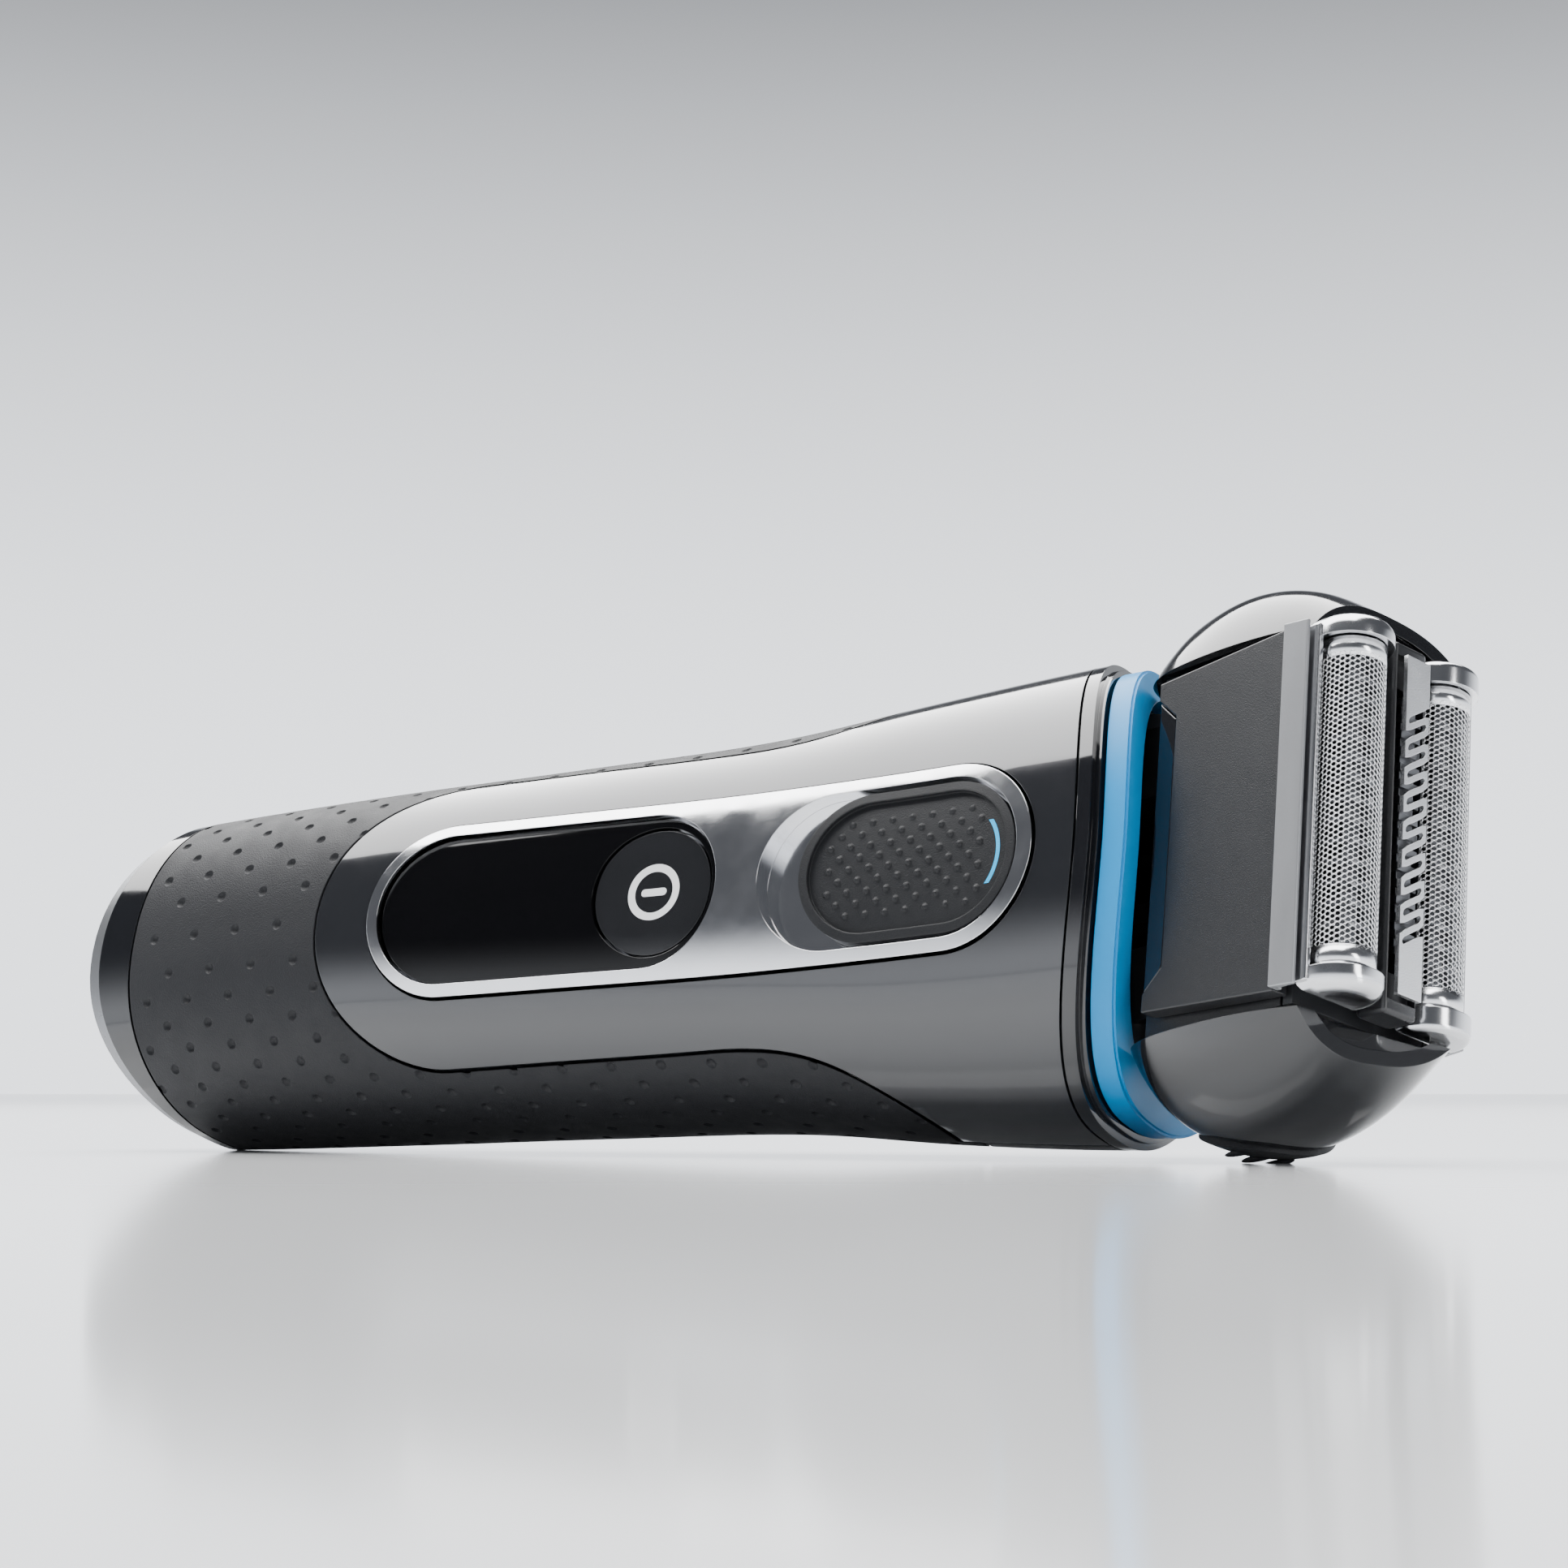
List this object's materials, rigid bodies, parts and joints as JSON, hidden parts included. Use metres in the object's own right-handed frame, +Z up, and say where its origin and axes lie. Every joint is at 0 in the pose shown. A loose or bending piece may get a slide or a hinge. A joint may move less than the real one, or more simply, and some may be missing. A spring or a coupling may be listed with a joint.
{
  "type": "electric shaver",
  "caption": "Cordless foil shaver lying on its side, with a rubber-gripped handle, a framed control panel and a pivoting three-element foil head.",
  "frame": {"origin": "centre of the bounding box's bottom face, on the surface the shaver lies on", "axes": "+X along the shaver from the base to the head, -Y out of the front face with the controls, tipped back about 18 degrees, +Z up"},
  "size_m": [0.1638, 0.0494, 0.0565],
  "materials": {
    "gunmetal": "glossy dark grey lacquer over plastic",
    "satin_black": "satin black plastic",
    "grip_rubber": "soft dark grey rubber, fine grain with moulded dimples",
    "gloss_black": "polished black plastic",
    "satin_grey": "satin grey coated plastic",
    "chrome": "bright chrome plating",
    "satin_silver": "satin silver",
    "foil_steel": "thin perforated steel",
    "accent_cyan": "bright cyan plastic",
    "panel_grey": "flat dark satin plastic",
    "inner_plastic": "natural moulded plastic, inside",
    "board_green": "circuit board with solder mask",
    "cell_blue": "shrink sleeve on the cell",
    "blade_steel": "ground steel",
    "brass": "plain brass"
  },
  "bodies": {
    "handle": {"front_cover": "gunmetal", "rear_cover": "satin_black", "rubber_grip": "grip_rubber", "end_cap": "gloss_black", "end_trim": "satin_grey", "charging_socket": "satin_black", "socket_pin_left": "brass", "socket_pin_right": "brass", "neck_collar": "gloss_black", "accent_ring": "accent_cyan", "bezel_frame": "chrome", "display_window": "gloss_black", "battery_cell": "cell_blue", "inner_chassis": "inner_plastic", "circuit_board": "board_green", "button_switch": "inner_plastic", "drive_motor": "satin_silver", "pivot_yoke": "inner_plastic", "pivot_pin_left": "blade_steel", "pivot_pin_right": "blade_steel"},
    "power_button": {"power_button": "gloss_black"},
    "lock_slider": {"lock_slider": "satin_black"},
    "motor_crank": {"motor_crank": "brass"},
    "trimmer": {"trimmer_carriage": "gloss_black", "trimmer_fixed_blade": "blade_steel"},
    "trimmer_blade": {"trimmer_moving_blade": "blade_steel"},
    "head": {"head_core": "satin_black", "side_cover_left": "gloss_black", "side_cover_right": "gloss_black", "front_panel": "panel_grey", "rear_panel": "panel_grey", "front_trim_strip": "satin_grey", "rear_trim_strip": "satin_grey"},
    "release_left": {"release_button_left": "grip_rubber"},
    "release_right": {"release_button_right": "grip_rubber"},
    "bridge": {"drive_bridge": "inner_plastic"},
    "cassette": {"cassette_frame": "satin_grey"},
    "front_foil": {"foil_front": "foil_steel", "foil_frame_front": "satin_silver"},
    "rear_foil": {"foil_rear": "foil_steel", "foil_frame_rear": "satin_silver"},
    "middle_trimmer": {"middle_frame": "satin_black", "middle_guard": "foil_steel"},
    "front_cutter": {"cutter_front": "blade_steel"},
    "rear_cutter": {"cutter_rear": "blade_steel"},
    "middle_comb": {"middle_comb": "blade_steel"}
  },
  "joints": [
    {"name": "power_button_press", "type": "slide", "parent": "handle", "child": "power_button", "axis": [0.0167, 0.9542, -0.2986], "range_m": [0, 0.0006], "stiffness_N_per_m": 900},
    {"name": "lock_slide", "type": "slide", "parent": "handle", "child": "lock_slider", "axis": [-0.9984, 0, -0.0558], "range_m": [0, 0.0046]},
    {"name": "motor_spin", "type": "hinge", "parent": "handle", "child": "motor_crank", "pos_m": [0.0232, 0.0053, 0.02384], "axis": [0.9984, 0, 0.0558], "continuous": true},
    {"name": "trimmer_slide", "type": "slide", "parent": "handle", "child": "trimmer", "axis": [0.9984, 0, 0.0558], "range_m": [0, 0.01]},
    {"name": "trimmer_blade_stroke", "type": "slide", "parent": "trimmer", "child": "trimmer_blade", "axis": [-0.0533, 0.299, 0.9528], "range_m": [-0.0008, 0]},
    {"name": "head_pivot", "type": "hinge", "parent": "handle", "child": "head", "pos_m": [0.04453, 0.00282, 0.02581], "axis": [-0.0533, 0.299, 0.9528], "range_deg": [-2, 20], "stiffness_Nm_per_rad": 0.6},
    {"name": "release_left_press", "type": "slide", "parent": "head", "child": "release_left", "axis": [-0.0533, 0.299, 0.9528], "range_m": [0, 0.0012], "stiffness_N_per_m": 400},
    {"name": "release_right_press", "type": "slide", "parent": "head", "child": "release_right", "axis": [0.0533, -0.299, -0.9528], "range_m": [0, 0.0012], "stiffness_N_per_m": 400},
    {"name": "bridge_stroke", "type": "slide", "parent": "head", "child": "bridge", "axis": [-0.0533, 0.299, 0.9528], "range_m": [-0.0009, 0.0009]},
    {"name": "cassette_lift", "type": "slide", "parent": "head", "child": "cassette", "axis": [0.9195, -0.3575, 0.1636], "range_m": [0, 0.012]},
    {"name": "front_foil_float", "type": "slide", "parent": "cassette", "child": "front_foil", "axis": [-0.9195, 0.3575, -0.1636], "range_m": [0, 0.0008], "stiffness_N_per_m": 300},
    {"name": "rear_foil_float", "type": "slide", "parent": "cassette", "child": "rear_foil", "axis": [-0.9195, 0.3575, -0.1636], "range_m": [0, 0.0008], "stiffness_N_per_m": 300},
    {"name": "middle_float", "type": "slide", "parent": "cassette", "child": "middle_trimmer", "axis": [-0.9195, 0.3575, -0.1636], "range_m": [0, 0.0008], "stiffness_N_per_m": 300},
    {"name": "front_cutter_stroke", "type": "slide", "parent": "front_foil", "child": "front_cutter", "axis": [-0.0533, 0.299, 0.9528], "range_m": [-0.0009, 0.0009]},
    {"name": "rear_cutter_stroke", "type": "slide", "parent": "rear_foil", "child": "rear_cutter", "axis": [-0.0533, 0.299, 0.9528], "range_m": [-0.0009, 0.0009]},
    {"name": "middle_comb_stroke", "type": "slide", "parent": "middle_trimmer", "child": "middle_comb", "axis": [-0.0533, 0.299, 0.9528], "range_m": [-0.0009, 0.0009]}
  ],
  "couplings": [
    {"joint": "front_cutter_stroke", "follows": "bridge_stroke", "ratio": 1},
    {"joint": "rear_cutter_stroke", "follows": "bridge_stroke", "ratio": 1},
    {"joint": "middle_comb_stroke", "follows": "bridge_stroke", "ratio": 1}
  ]
}
